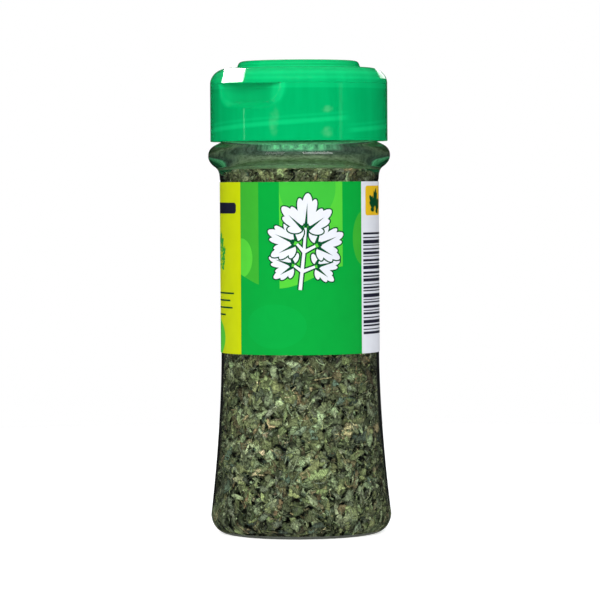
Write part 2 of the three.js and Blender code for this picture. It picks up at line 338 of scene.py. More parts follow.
def spin(line, turns, warp=None):
    """Turns (radius, height) points about the axis. Returns vertices, faces and a flat map."""
    vertices, faces, uvs, rings = [], [], [], []
    far = [0]
    for (r0, z0), (r1, z1) in zip(line, line[1:]):
        far.append(far[-1] + math.hypot(r1 - r0, z1 - z0))
    for radius, height in line:
        on_axis = radius <= 1e-6
        rings.append([])
        for angle in [0] if on_axis else turns:
            r, z = warp(radius, height, angle) if warp and not on_axis else (radius, height)
            rings[-1].append(len(vertices))
            a = math.radians(angle)
            vertices.append((r * math.cos(a), r * math.sin(a), z))
    count = len(turns)
    for row, (low, high) in enumerate(zip(rings, rings[1:])):
        v0, v1 = far[row] / far[-1], far[row + 1] / far[-1]
        for k in range(count):
            m = (k + 1) % count
            corners = [(low, k, k, v0), (low, m, k + 1, v0), (high, m, k + 1, v1), (high, k, k, v1)]
            if len(low) == 1:
                corners.pop(1)
            elif len(high) == 1:
                corners.pop(2)
            faces.append(tuple(ring[i % len(ring)] for ring, i, side, v in corners))
            uvs += [(side / count, v) for ring, i, side, v in corners]
    return vertices, faces, uvs


def even_turns(count):
    return [i * 360 / count for i in range(count)]


def leaf_dust_and_painted_light():
    """The inside of the neck, clouded by fine leaf dust in streaks, with a painted highlight at the
    bead's crest and painted green light under the cap.
    """
    painted_light, add, inputs = principled(
        "dusty_glass_painted_light", (0.09, 0.14, 0.08), 0.0, Transmission_Weight=0.25, IOR=1.001
    )
    place = add("TexCoord").outputs["Object"]
    level = add("Mapping", place, Scale=(1, 1, 11))
    streaks = add("TexNoise", level, Scale=700, Detail=8, Roughness=0.8)
    amount = add("MapRange", streaks, 0.32, 0.7, 0.2, 2.1)
    rise = add("MapRange", add("SeparateXYZ", place).outputs["Z"], 0.0872, 0.0937)
    # Dust bands up the neck, a painted highlight line at the bead's crest (0.412) and painted green
    # light from the cap (0.51 to 0.57)
    steps = [
        (0.0, (0.09, 0.16, 0.07)),
        (0.27, (0.115, 0.21, 0.11)),
        (0.37, (0.085, 0.16, 0.065)),
        (0.412, (0.24, 0.35, 0.2)),
        (0.45, (0.12, 0.19, 0.13)),
        (0.485, (0.12, 0.19, 0.14)),
        (0.51, (0.26, 0.95, 0.48)),
        (0.57, (0.18, 0.85, 0.36)),
        (0.72, (0.01, 0.16, 0.06)),
    ]
    color = color_steps(add, rise, steps)
    feed(inputs["Base Color"], add("VectorMath", color, operation="SCALE", Scale=amount))
    return painted_light


def touched_glass():
    """Leaf against the wall turns back less light than bare glass does, least at the foot."""
    touched, add, inputs = principled("glass_touched", (1, 1, 1), 0.0, Transmission_Weight=1.0)
    height = add("SeparateXYZ", add("TexCoord").outputs["Object"]).outputs["Z"]
    feed(inputs["IOR"], add("MapRange", height, 0.003, 0.007, 1.001, 1.43))
    return touched


def clear_glass():
    """Clear glass with the slight waves that pressing leaves in it."""
    clear, add, inputs = principled(
        "clear_glass", (0.965, 0.985, 0.978), 0.0, Transmission_Weight=1.0, IOR=1.5
    )
    waves = add("TexNoise", add("TexCoord").outputs["Object"], Scale=90, Detail=1.5)
    raise_surface(add, inputs, waves, 0.35, 0.0004)
    return clear


def pimpled_glass():
    """The fine pimples that the mould leaves on the ring the jar stands on."""
    return principled(
        "pimpled_foot", (0.15, 0.16, 0.14), 0.45, Transmission_Weight=0.4, IOR=1.5
    )[0]


def glass_jar():
    def screw(radius, height, angle):
        if THREAD_ZONE[0] <= height <= THREAD_ZONE[1] and radius >= NECK_RADIUS - 0.01:
            place = (angle, height, GLASS_THREAD_START, GLASS_THREAD_HEIGHT)
            radius += thread_rise(*place, GLASS_RIB_HALF, GLASS_RIB_RISE)
        return radius, height

    outside = glass_outside()
    lip_row = len(outside) - ROWS_INSIDE_LIP
    line = outside + glass_inside()[::-1][1:]
    vertices, faces, uvs = spin(line, even_turns(COLUMNS), screw)
    clear, touched, with_painted_light, pimpled = range(4)
    finish = []
    for row, (radius, height) in enumerate(line[1:]):
        if height < PIMPLED_BELOW and radius > PIMPLED_FROM:
            kind = pimpled
        elif height > DUST_AND_PAINTED_LIGHT_TO or row < lip_row:
            kind = clear
        else:
            # The neck above the leaf gets dust with painted light
            kind = with_painted_light if height > LEAF_TOUCHES_TO else touched
        finish += [kind] * COLUMNS
    kinds = [clear_glass(), touched_glass(), leaf_dust_and_painted_light(), pimpled_glass()]
    glass = make_piece("glass_jar_clear", vertices, faces, kinds, finish, sharp=60, uvs=uvs)
    glass_parts.objects.link(glass)
    glass.visible_shadow = False
    glass.visible_diffuse = False
    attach(glass, "jar")
    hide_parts("glass_jar")


glass_jar()

# Dried coriander leaf
# Rubbed leaf, thousands of torn and curled flakes up to three millimetres across, with crumbs, cut
# stems and a few tan bits. They press against the glass and fill the jar to its shoulder.
FILL_BOTTOM = 2.3
FILL_EDGE = 88.6
FILL_CROWN = 90.2
UNDER_LABEL = (47, 80.5)
FLAKE_RIM = 14
CRUMB_RIM = 8
COMMON_SIZES = (0.42, 2.05)
# Layers at the wall: flakes to a millimetre of height, how deep they lie, lean and how large
WALL_LAYERS = [
    (17, (0.06, 0.3), 0.26, (1.1, 2.3)),
    (44, (0.1, 0.5), 0.4, COMMON_SIZES),
    (60, (0.4, 1.2), 0.6, COMMON_SIZES),
    (38, (1.0, 1.9), 0.6, COMMON_SIZES),
]
CRUMB_LAYER = (120, (0.05, 0.7), 0.8, (0.14, 0.42))
# Painted shade: dark at each flake's torn rim, lighter inside, and darker with depth
RIM_SHADES, INNER_SHADES, MIDDLE_SHADES = (0.1, 0.8), (0.85, 1.5), (0.85, 1.4)
SHADED_DEPTHS, DEPTH_SHADES = (0.25, 1.9), (1.0, 0.26)
FLAKE_THICKNESS = 0.09
WALL_GAP = 0.06

inside_line = glass_inside() + bend(
    (INNER_WAIST, 86.5), (INNER_WAIST, 90), (BORE_RADIUS, 90.5), (BORE_RADIUS, 93.5), 10
)
inside_heights = [z for r, z in inside_line][3:]
inside_radii = [r for r, z in inside_line][3:]


def inner_radius(height):
    return float(np.interp(height, inside_heights, inside_radii))


# The colours of dried leaf, each with how often it is met
LEAF_COLORS = {
    "sage": ((0.245, 0.3, 0.155), 22),
    "olive": ((0.185, 0.225, 0.092), 25),
    "deep olive": ((0.10, 0.125, 0.055), 22),
    "grey green": ((0.165, 0.2, 0.12), 12),
    "blue green": ((0.10, 0.15, 0.10), 3),
    "brown green": ((0.175, 0.16, 0.075), 7),
    "tan": ((0.33, 0.265, 0.13), 1.6),
    "reddish brown": ((0.25, 0.175, 0.09), 0.5),
    "straw": ((0.48, 0.43, 0.23), 1.4),
}


def leaf_material():
    """Mottled, veined and fibrous leaf, in the tint and painted shade that each point of a flake
    carries.
    """
    leaf, add, inputs = principled(
        "dried_leaf", (0.15, 0.19, 0.08), 0.72, Specular_IOR_Level=0.35
    )
    place = add("TexCoord").outputs["Object"]
    on_flake = add("Attribute", attribute_name="leaf_place").outputs["Vector"]
    mottle = add("TexNoise", place, Scale=1500, Detail=5, Roughness=0.7)
    veins = add("TexVoronoi", place, feature="DISTANCE_TO_EDGE", Scale=1700)
    fibres = add("TexNoise", on_flake, Scale=4.6, Detail=3)
    patches = add("TexNoise", place, Scale=140, Detail=1)
    shade = add("MapRange", mottle, 0.3, 0.7, 0.7, 1.28)
    for pattern, *limits in (
        (veins, 0, 0.14, 0.66, 1.06),
        (fibres, 0.35, 0.65, 0.5, 1.5),
        (patches, 0.3, 0.7, 0.8, 1.2),
    ):
        shade = add("Math", shade, add("MapRange", pattern, *limits), operation="MULTIPLY")
    tint_and_shade = add("Attribute", attribute_name="leaf_tint_and_shade")
    feed(inputs["Base Color"], add("VectorMath", tint_and_shade, operation="SCALE", Scale=shade))
    raise_surface(add, inputs, veins, 0.5, 0.00012)
    return leaf


dried_leaf = leaf_material()
draw = np.random.default_rng(41)
color_table = np.array([color for color, share in LEAF_COLORS.values()])
color_share = np.array([share for color, share in LEAF_COLORS.values()], float)


def leaf_tints(count, only=None):
    share = color_share.copy()
    if only:
        share *= [name in only for name in LEAF_COLORS]
    base = color_table[draw.choice(len(share), count, p=share / share.sum())]
    return base * draw.uniform(0.4, 1.42, (count, 1)) * draw.uniform(0.94, 1.06, (count, 3))


def held_in(points):
    """Presses points that would pass through the glass back against its inside."""
    points[..., 2] = np.maximum(points[..., 2], FILL_BOTTOM)
    most = np.interp(points[..., 2], inside_heights, inside_radii) - WALL_GAP
    reach = np.hypot(points[..., 0], points[..., 1])
    points[..., :2] *= np.minimum(1, most / np.maximum(reach, 1e-6))[..., None]
    return points


def some_sizes(least, most, count):
    """Sizes between two, most of them small."""
    return least + (most - least) * draw.random(count) ** 1.5


def on_wall(low, high, count, inset, lean, sizes):
    """Flakes in a band of the wall, so far inside the glass, the deeper ones in less light."""
    z = draw.uniform(low, high, count)
    angle = draw.uniform(0, 2 * np.pi, count)
    outward = np.stack([np.cos(angle), np.sin(angle), np.zeros(count)], 1)
    depth = draw.uniform(*inset, count)
    middle = outward * (np.interp(z, inside_heights, inside_radii) - depth)[:, None]
    middle[:, 2] = z
    shade = np.interp(depth, SHADED_DEPTHS, DEPTH_SHADES)
    return middle, outward, draw.normal(0, lean, count), some_sizes(*sizes, count), shade


def on_level(most, height, spread, count, up, lean):
    """Flakes on the top or the bottom of the heap, at a height that is found from their radius."""
    radius = most * np.sqrt(draw.random(count))
    angle = draw.uniform(0, 2 * np.pi, count)
    z = height(radius) + draw.uniform(*spread, count)
    middle = np.stack([radius * np.cos(angle), radius * np.sin(angle), z], 1)
    outward = np.tile([0.0, 0.0, up], (count, 1))
    sizes = some_sizes(0.5, 1.9, count)
    return middle, outward, draw.normal(0, lean, count), sizes, np.ones(count)


def unit(ways):
    return ways / np.linalg.norm(ways, axis=1, keepdims=True)


def leaf_flakes(name, rim, *layers):
    """Crumpled flakes: a lobed torn rim, an inner ring and a middle outside, one point behind."""
    half = rim // 2
    middle, outward, lean, size, shade = (np.concatenate(part) for part in zip(*layers))
    count = len(middle)
    size = size[:, None]
    up = np.where(np.abs(outward[:, 2:]) < 0.9, [[0.0, 0, 1]], [[1.0, 0, 0]])
    side = unit(np.cross(up, outward))
    rise = np.cross(outward, side)
    about = draw.uniform(0, 2 * np.pi, (count, 1))
    axis = side * np.cos(about) + rise * np.sin(about)
    lean = lean[:, None]
    third = outward * np.cos(lean) + np.cross(axis, outward) * np.sin(lean)
    other = np.cross(third, axis)
    about = draw.uniform(0, 2 * np.pi, (count, 1))
    first = axis * np.cos(about) + other * np.sin(about)
    second = np.cross(third, first)

    # A torn rim of two to five lobes, cut in and stretched, with a smaller ring inside it
    ring = (np.arange(rim) + draw.uniform(-0.38, 0.38, (count, rim))) / rim * 2 * np.pi
    lobes = draw.choice([2, 3, 3, 4, 5], (count, 1))
    cut = draw.uniform(0.15, 0.6, (count, 1))
    reach = 1 - cut * (0.5 - 0.5 * np.cos(lobes * ring + draw.uniform(0, 6.3, (count, 1))))
    reach = reach * size * draw.uniform(0.7, 1.15, (count, rim))
    stretch = draw.uniform(1, 1.75, (count, 1))
    across = reach * np.cos(ring) * stretch
    along = reach * np.sin(ring) / stretch
    inner = draw.uniform(0.64, 0.82, (count, half))
    across = np.concatenate([across, across[:, ::2] * inner, np.zeros((count, 2))], 1)
    along = np.concatenate([along, along[:, ::2] * inner, np.zeros((count, 2))], 1)

    # How each flake curls, folds along its middle, twists and crumples
    curl = draw.uniform(-0.3, 0.3, (count, 1)) / size
    fold = draw.uniform(-0.4, 0.5, (count, 1))
    twist = draw.uniform(-0.35, 0.35, (count, 1)) / size
    height = -curl * across ** 2 - fold * np.abs(along) + twist * across * along
    height += draw.normal(0, 0.11, height.shape) * size
    height[:, -1] = height[:, -2] - FLAKE_THICKNESS
    points = middle[:, None] + first[:, None] * across[..., None]
    points += second[:, None] * along[..., None] + third[:, None] * height[..., None]
    points = held_in(points)
    corners = []
    for k in range(half):
        a, b, c = 2 * k, 2 * k + 1, (2 * k + 2) % rim
        m, n = rim + k, rim + (k + 1) % half
        corners += [(a, b, m), (b, n, m), (b, c, n), (m, n, rim + half)]
        corners += [(b, a, rim + half + 1), (c, b, rim + half + 1)]
    corners = np.array(corners)
    per = points.shape[1]
    faces = (np.arange(count)[:, None, None] * per + corners).reshape(-1, 3)

    # Painted shade: dark at the torn rim where flakes shade one another, light inside, and less and
    # bluer light painted on the deeper flakes
    spots = [
        draw.uniform(*shades, (count, places))
        for shades, places in ((RIM_SHADES, rim), (INNER_SHADES, half), (MIDDLE_SHADES, 2))
    ]
    tints_and_shades = np.ones((count, per, 4), np.float32)
    shade = shade[:, None] ** (1.06, 1.0, 0.9)
    tints_and_shades[..., :3] = (leaf_tints(count) * shade)[:, None] * np.concatenate(spots, 1)[..., None]

    # A flat map with each flake in a cell of its own, and each point's place on its own flake
    cells = math.ceil(math.sqrt(count))
    flat = np.stack([across, along], 2) / (size[..., None] * 1.75) * 0.45 + 0.5
    flat[..., 0] += (np.arange(count) % cells)[:, None]
    flat[..., 1] += (np.arange(count) // cells)[:, None]
    uvs = (flat.reshape(-1, 2) / cells)[faces.ravel()]
    own = np.broadcast_to(draw.uniform(0, 900, (count, 1)), across.shape)
    places = np.stack([across, along * 0.2, own], 2).reshape(-1, 3)
    leaf_piece(name, points.reshape(-1, 3), faces.tolist(), tints_and_shades.reshape(-1, 4), uvs, places)


def leaf_piece(name, points, faces, tints_and_shades, uvs, places):
    """Notes each point's tint with its painted shade, and its place on its own flake, along which
    the fibres run.
    """
    piece = make_piece(name, points, faces, [dried_leaf], sharp=70, uvs=uvs)
    tint_and_shade_layer = piece.data.color_attributes.new("leaf_tint_and_shade", "FLOAT_COLOR", "POINT")
    tint_and_shade_layer.data.foreach_set("color", tints_and_shades.astype(np.float32).ravel())
    place_layer = piece.data.attributes.new("leaf_place", "FLOAT_VECTOR", "POINT")
    place_layer.data.foreach_set("vector", places.astype(np.float32).ravel())
    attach(piece, "jar")
    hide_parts("coriander_fill")


def wall_layers(low, high, layers=WALL_LAYERS):
    return [on_wall(low, high, round((high - low) * row[0]), *row[1:]) for row in layers]


def heap_height(radius):
    return FILL_CROWN - (FILL_CROWN - FILL_EDGE) * (radius / 17) ** 2


def bottom_height(radius):
    return FILL_BOTTOM + 0 * radius


leaf_flakes("leaf_flakes_foot", FLAKE_RIM, *wall_layers(2.6, 25))
leaf_flakes("leaf_flakes_waist", FLAKE_RIM, *wall_layers(25, UNDER_LABEL[0]))
leaf_flakes(
    "leaf_flakes_shoulder",
    FLAKE_RIM,
    *wall_layers(UNDER_LABEL[1], FILL_EDGE),
    on_level(17, heap_height, (-0.9, 0.25), 900, 1, 0.5),
    on_level(18.6, bottom_height, (0.05, 1.2), 1100, -1, 0.3),
)
clinging = on_wall(FILL_EDGE, 91.5, 22, (0.05, 0.2), 0.3, (0.25, 0.7))
leaf_flakes("leaf_crumbs_low", CRUMB_RIM, *wall_layers(2.5, UNDER_LABEL[0], [CRUMB_LAYER]))
shoulder_crumbs = wall_layers(UNDER_LABEL[1], FILL_EDGE, [CRUMB_LAYER])
leaf_flakes("leaf_crumbs_shoulder", CRUMB_RIM, *shoulder_crumbs, clinging)


def tube_faces(first, rows, sides):
    """The side faces of a tube whose rings of points follow one another from a first number."""
    faces = []
    for a in range(first, first + (rows - 1) * sides, sides):
        for k in range(sides):
            m = (k + 1) % sides
            faces.append((a + k, a + m, a + sides + m, a + sides + k))
    return faces


def leaf_stems(name, count):
    """Cut bits of stem: thin rods with five sides and a slight bow, near the glass."""
    bands = [(3.8, UNDER_LABEL[0])] * 5 + [(UNDER_LABEL[1], FILL_EDGE)]
    up = Vector((0, 0, 1))
    rings, sides = 4, 5
    per = rings * sides
    vertices, faces = [], []
    for i in range(count):
        z, angle, tilt = draw.uniform(*bands[i % 6]), draw.uniform(0, 6.283), draw.normal(0, 0.9)
        outward = Vector((math.cos(angle), math.sin(angle), 0))
        around = Vector((-math.sin(angle), math.cos(angle), 0))
        middle = outward * (inner_radius(z) - draw.uniform(0.08, 0.7)) + up * z
        way = around * math.cos(tilt) + up * math.sin(tilt)
        way = (way + outward * draw.uniform(-0.2, 0.2)).normalized()
        side = way.orthogonal().normalized()
        other = way.cross(side)
        slim = draw.random() ** 2
        length, thick = draw.uniform(0.9, 2.6) * (1 + slim), 0.08 + 0.26 * slim
        bow = side * draw.uniform(-0.25, 0.25) * length
        first = len(vertices)
        for step in range(rings):
            t = step / (rings - 1)
            centre = middle + way * (t - 0.5) * length + bow * math.sin(math.pi * t)
            wide = thick * (1 - 0.35 * t) / 2
            for k in range(sides):
                a = 2 * math.pi * k / sides
                vertices.append(centre + side * math.cos(a) * wide + other * math.sin(a) * wide)
        faces.append(tuple(range(first + sides - 1, first - 1, -1)))
        faces += tube_faces(first, rings, sides)
        faces.append(tuple(range(first + per - sides, first + per)))
    points = held_in(np.array([tuple(v) for v in vertices]))
    tints_and_shades = np.ones((len(points), 4))
    stem_colors = leaf_tints(count, ["tan", "straw", "sage", "grey green"])
    tints_and_shades[:, :3] = np.repeat(stem_colors, per, 0)
    owners = np.concatenate([[f[0] // per] * len(f) for f in faces])
    cells = math.ceil(math.sqrt(count))
    uvs = np.stack([(owners % cells + 0.5) / cells, (owners // cells + 0.5) / cells], 1)
    corner = np.arange(len(owners)) % 4
    uvs += np.stack([corner % 2, corner // 2], 1) * 0.3 / cells
    leaf_piece(name, points, faces, tints_and_shades, uvs, points * (1, 1, 0.2))


leaf_stems("leaf_stems", 1500)


def leaf_core():
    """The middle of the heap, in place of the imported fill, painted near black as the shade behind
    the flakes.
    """
    painted_shade_core, add, inputs = principled(
        "packed_leaf_painted_shade", (0.012, 0.016, 0.012), 0.9, Specular_IOR_Level=0.1
    )
    grain = add("TexNoise", add("TexCoord").outputs["Object"], Scale=700)
    steps = [(0.4, (0.01, 0.014, 0.016)), (0.8, (0.05, 0.06, 0.035))]
    feed(inputs["Base Color"], color_steps(add, grain, steps))
    line = [(0, 3.8), (15, 3.8), (17.6, 6)]
    line += [(inner_radius(z) - 1.9, z) for z in np.linspace(9, 86, 40)]
    line += [(14.3, 87.2), (9, 88.6), (0, 89)]
    vertices, faces, uvs = spin(line, even_turns(96))
    rough = []
    for x, y, z in vertices:
        push = 1 + 0.03 * noise.noise(Vector((x, y, z)) * 0.7)
        rough.append((x * push, y * push, z))
    core = make_piece("leaf_core", rough, faces, [painted_shade_core], sharp=80, uvs=uvs)
    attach(core, "jar")
    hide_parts("coriander_fill")


leaf_core()

# Wraparound label
# One strip of printed film round the waist, glued at the back where its end laps over its start.
# It is printed in yellow green and three greens, with plain bars and leaf sprigs in two flat inks.
LABEL_BOTTOM = 43.3
LABEL_TOP = 83.8
LABEL_INNER = 18.87
LABEL_THICKNESS = 0.1
LAP_LIFT = 0.13
LABEL_FROM = -172.5
LABEL_TO = 202.5
DEGREE = math.pi / 180 * (LABEL_INNER + LABEL_THICKNESS)
INKS = {
    "paper_white": (0.70, 0.72, 0.78),
    "yellow_green": (0.5, 0.58, 0.0),
    "mid_green": (0.038, 0.38, 0.026),
    "deep_green": (0.0, 0.33, 0.038),
    "light_green": (0.078, 0.54, 0.038),
    "soft_green": (0.045, 0.46, 0.04),
    "faint_green": (0.0, 0.345, 0.043),
    "lemon": (0.74, 0.46, 0.01),
    "ink_black": (0.012, 0.013, 0.03),
    "line_green": (0.0, 0.07, 0.02),
}
ink_names = list(INKS)


def ink_material(name, color):
    ink, add, inputs = principled(name, color, 0.55, Specular_IOR_Level=0.1)
    place = add("TexCoord").outputs["Object"]
    uneven = add("MapRange", add("TexNoise", place, Scale=260, Detail=5), 0, 1, 0.93, 1.05)
    feed(inputs["Base Color"], add("VectorMath", color, operation="SCALE", Scale=uneven))
    raise_surface(add, inputs, add("TexNoise", place, Scale=120), 0.25, 0.0002)
    return ink


def box_shape(left, right, low, high):
    return [(left, low), (right, low), (right, high), (left, high)]


def round_box(left, right, low, high, corner):
    points = []
    for cx, cz, start in (
        (right - corner, low + corner, -90),
        (right - corner, high - corner, 0),
        (left + corner, high - corner, 90),
        (left + corner, low + corner, 180),
    ):
        for step in range(5):
            a = math.radians(start + step * 22.5)
            points.append((cx + corner * math.cos(a), cz + corner * math.sin(a)))
    return points


# Lobes of a leaf: how far each turns to the side, how far it reaches and how wide it is
LOBES = [(0, 1.0, 0.15)]
for turn, reach, wide in (
    (15, 0.88, 0.11), (50, 0.9, 0.14), (66, 0.72, 0.11), (36, 0.74, 0.1), (92, 0.5, 0.1)
):
    LOBES += [(-turn, reach, wide), (turn, reach, wide)]


def turned_shape(points, x, z, turn):
    c, s = math.cos(math.radians(turn)), math.sin(math.radians(turn))
    return [(x + px * c + pz * s, z - px * s + pz * c) for px, pz in points]


def leaflet(x, z, size, turn, grow=0.0):
    """Rounded lobes fanned out from a stalk end at x and z, each lobe an oval."""
    shapes = []
    for side, reach, wide in LOBES:
        across, tall = wide * size + grow, 0.4 * reach * size + grow
        lobe = [
            (across * math.sin(a), 0.6 * reach * size + tall * math.cos(a))
            for a in np.linspace(0, 2 * math.pi, 16, endpoint=False)
        ]
        shapes.append(turned_shape(turned_shape(lobe, 0, 0.04 * size, side), x, z, turn))
    return shapes


def leaf_veins(x, z, size, turn, wide):
    """Thin lines from the stalk end into the three main lobes."""
    shapes = []
    for side, reach in ((0, 0.78), (-50, 0.66), (50, 0.66)):
        vein = [(-wide / 2, 0.1 * size), (wide / 2, 0.1 * size), (0, reach * size)]
        shapes.append(turned_shape(turned_shape(vein, 0, 0, side), x, z, turn))
    return shapes


def stalk_shape(path, wide, grow=0.0):
    """A stalk along a few points, as one outline."""
    left, right = [], []
    for i, (x, z) in enumerate(path):
        x0, z0 = path[max(0, i - 1)]
        x1, z1 = path[min(len(path) - 1, i + 1)]
        length = math.hypot(x1 - x0, z1 - z0)
        nx, nz = -(z1 - z0) / length, (x1 - x0) / length
        half = wide / 2 * (1 - 0.3 * i / (len(path) - 1)) + grow
        left.append((x + nx * half, z + nz * half))
        right.append((x - nx * half, z - nz * half))
    return left + right[::-1]


def sprig(x, z, size, top_ink, line_ink, grow):
    """Shapes of an upright sprig, first those on top: five lobed leaves, then their stalks."""
    leaves = [
        (x, z + 0.72 * size, 0.64 * size, 4),
        (x - 0.15 * size, z + 0.5 * size, 0.55 * size, -66),
        (x + 0.17 * size, z + 0.46 * size, 0.55 * size, 68),
        (x - 0.2 * size, z + 0.12 * size, 0.46 * size, -72),
        (x + 0.16 * size, z + 0.1 * size, 0.46 * size, 78),
    ]
    fork = (x - 0.03 * size, z + 0.36 * size)
    low_fork = (x - 0.06 * size, z + 0.02 * size)
    stalks = [[(x - 0.1 * size, z - 0.3 * size), fork, (x, z + 0.78 * size)]]
    stalks += [[fork, leaf[:2]] for leaf in leaves[1:3]]
    stalks += [[low_fork, leaf[:2]] for leaf in leaves[3:]]
    layers = []
    for leaf in leaves:
        layers.append((leaf_veins(*leaf, 0.06 * size), line_ink))
        layers.append((leaflet(*leaf), top_ink))
        layers.append((leaflet(*leaf, grow), line_ink))
    layers.append(([stalk_shape(path, 0.06 * size) for path in stalks], top_ink))
    layers.append(([stalk_shape(path, 0.06 * size, grow) for path in stalks], line_ink))
    return [(shape, ink, None) for shapes, ink in layers for shape in shapes]


def label_shapes():
    """The printed shapes, first those on top. Each may be kept to a stretch of the strip."""
    d = DEGREE
    shapes = sprig(1.4, 62.6, 13.4, "paper_white", "line_green", 0.34)

    def add(shape, ink):
        shapes.append((shape, ink, None))

    def disc(turn, z, wide, tall, ink, start, end):
        shapes.append((oval(turn * d, z, wide, tall), ink, (start * d, end * d)))

    def bar(start, end, low, high, ink):
        add(box_shape(start * d, end * d, low, high), ink)

    disc(-18, 50, 7.5, 5.2, "faint_green", -47, 50)
    wave = [(-47 * d, LABEL_BOTTOM)]
    for t in np.linspace(-47, 50, 40):
        wave.append((t * d, 61.5 + 2.6 * math.sin(math.radians(t * 3.4 - 35))))
    add(wave + [(50 * d, LABEL_BOTTOM)], "deep_green")
    disc(52, 70.5, 3.6, 6.4, "mid_green", 32, 50)
    disc(6, 82.5, 6.8, 7.6, "soft_green", -14.5, 32)
    disc(-46, 66, 3.4, 4.6, "light_green", -47, -30.5)
    bars = [1, 0.4, 0.7, 1.3, 0.5, 0.9, 0.4, 1.1, 0.6, 0.4, 1.4, 0.5, 0.8, 0.4, 1.2, 0.6, 0.9]
    z = 47.8
    for i, thick in enumerate(bars + bars[3:13]):
        bar(52, 104, z, z + thick * 0.62, "ink_black")
        z += thick * 0.62 + (0.4, 0.55, 0.3)[i % 3]
    for lobe in leaflet(70 * d, 76.8, 5.2, 8):
        add(lobe, "line_green")
    add(round_box(55 * d, 84 * d, 75.8, 82.8, 0.7), "lemon")
    add(round_box(-97 * d, -52 * d, 76.4, 79, 0.8), "ink_black")
    for i, end in enumerate((-55, -60, -57, -68)):
        bar(-104, end, 57.4 - i * 1.7, 57.8 - i * 1.7, "line_green")
    shapes += sprig(-80 * d, 64, 6, "deep_green", "yellow_green", 0.12)
    disc(-96, 47, 9, 5, "light_green", -120, -47)
    shapes += sprig(-146 * d, 60, 10, "paper_white", "line_green", 0.3)
    disc(-150, 84, 8, 9, "soft_green", -LABEL_TO, -120)
    for low in range(50, 77, 3):
        bar(122, 176, low, low + 0.3, "line_green")
    for edge in (122, 158, 175):
        add(box_shape(edge * d, edge * d + 0.3, 50, 74.3), "line_green")
    bar(122, 176, 76.6, 80.4, "deep_green")
    return shapes


LABEL_PANELS = [
    (LABEL_FROM, -120, "light_green"),
    (-120, -47, "yellow_green"),
    (-47, -30.5, "mid_green"),
    (-30.5, -14.5, "deep_green"),
    (-14.5, 32, "light_green"),
    (32, 50, "deep_green"),
    (50, 112, "paper_white"),
    (112, 118, "deep_green"),
    (118, 180, "paper_white"),
    (180, LABEL_TO, "deep_green"),
]


def inside_shape(xs, zs, shape):
    """Which of many places lie inside a closed outline."""
    inside = np.zeros(len(xs), bool)
    last = shape[-1]
    for point in shape:
        if point[1] != last[1]:
            cross = point[0] + (zs - point[1]) / (last[1] - point[1]) * (last[0] - point[0])
            inside ^= ((point[1] > zs) != (last[1] > zs)) & (xs < cross)
        last = point
    return inside


def wrap_label():
    shapes = label_shapes()
    points, edges = [], []
    left, right = LABEL_FROM * DEGREE, LABEL_TO * DEGREE

    def fence(line, closed=True):
        first, count = len(points), len(line)
        for x, z in line:
            points.append((min(max(x, left), right), min(max(z, LABEL_BOTTOM), LABEL_TOP)))
        for i in range(count if closed else count - 1):
            edges.append((first + i, first + (i + 1) % count))

    fence(box_shape(left, right, LABEL_BOTTOM, LABEL_TOP))
    uprights = [left + (right - left) * i / 150 for i in range(1, 150)]
    uprights += [start * DEGREE for start, end, ink in LABEL_PANELS[1:]]
    for x in uprights:
        fence([(x, LABEL_BOTTOM), (x, LABEL_TOP)], False)
    for shape, ink, stretch in shapes:
        fence(shape)
    flat = delaunay_2d_cdt([Vector(p) for p in points], edges, [], 1, 1e-4, False)
    places, kept = flat[0], [tuple(t) for t in flat[2]]
    xs, zs = np.array(places)[np.array(kept)].mean(axis=1).T
    inks = np.zeros(len(kept), int)
    for start, end, ink in LABEL_PANELS:
        here = (xs / DEGREE > start - 1e-6) & (xs / DEGREE < end + 1e-6)
        inks[here] = ink_names.index(ink)
    for shape, ink, stretch in reversed(shapes):
        lowest, highest = stretch or (left, right)
        here = inside_shape(xs, zs, shape) & (xs >= lowest) & (xs <= highest)
        inks[here] = ink_names.index(ink)
    inks = inks.tolist()

    def wrapped(place, radius):
        turn = place[0] / DEGREE
        lift = min(1, max(0, (turn - 178) / 8))
        angle = math.radians(turn - 90)
        r = radius + LAP_LIFT * lift * lift * (3 - 2 * lift)
        return (r * math.cos(angle), r * math.sin(angle), place[1])

    front = [wrapped(p, LABEL_INNER + LABEL_THICKNESS) for p in places]
    behind = [wrapped(p, LABEL_INNER) for p in places]
    count = len(front)
    faces = list(kept) + [tuple(count + i for i in reversed(t)) for t in kept]
    inks += [0] * len(kept)
    rims = {}
    for t in kept:
        for a, b in zip(t, t[1:] + t[:1]):
            if rims.pop((b, a), None) is None:
                rims[(a, b)] = True
    faces += [(b, a, count + a, count + b) for a, b in rims]
    inks += [0] * len(rims)
    uvs = []
    for number, face in enumerate(faces):
        for i in face:
            x, z = places[i % count]
            v = (z - LABEL_BOTTOM) / (LABEL_TOP - LABEL_BOTTOM) * 0.48
            uvs.append(((x - left) / (right - left), v + (0 if number < len(kept) else 0.51)))
    materials = [ink_material(name, INKS[name]) for name in ink_names]
    label = make_piece("wrap_label_printed", front + behind, faces, materials, inks, 50, uvs=uvs)
    printed_parts.objects.link(label)
    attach(label, "jar")
    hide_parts("wrap_label")


wrap_label()

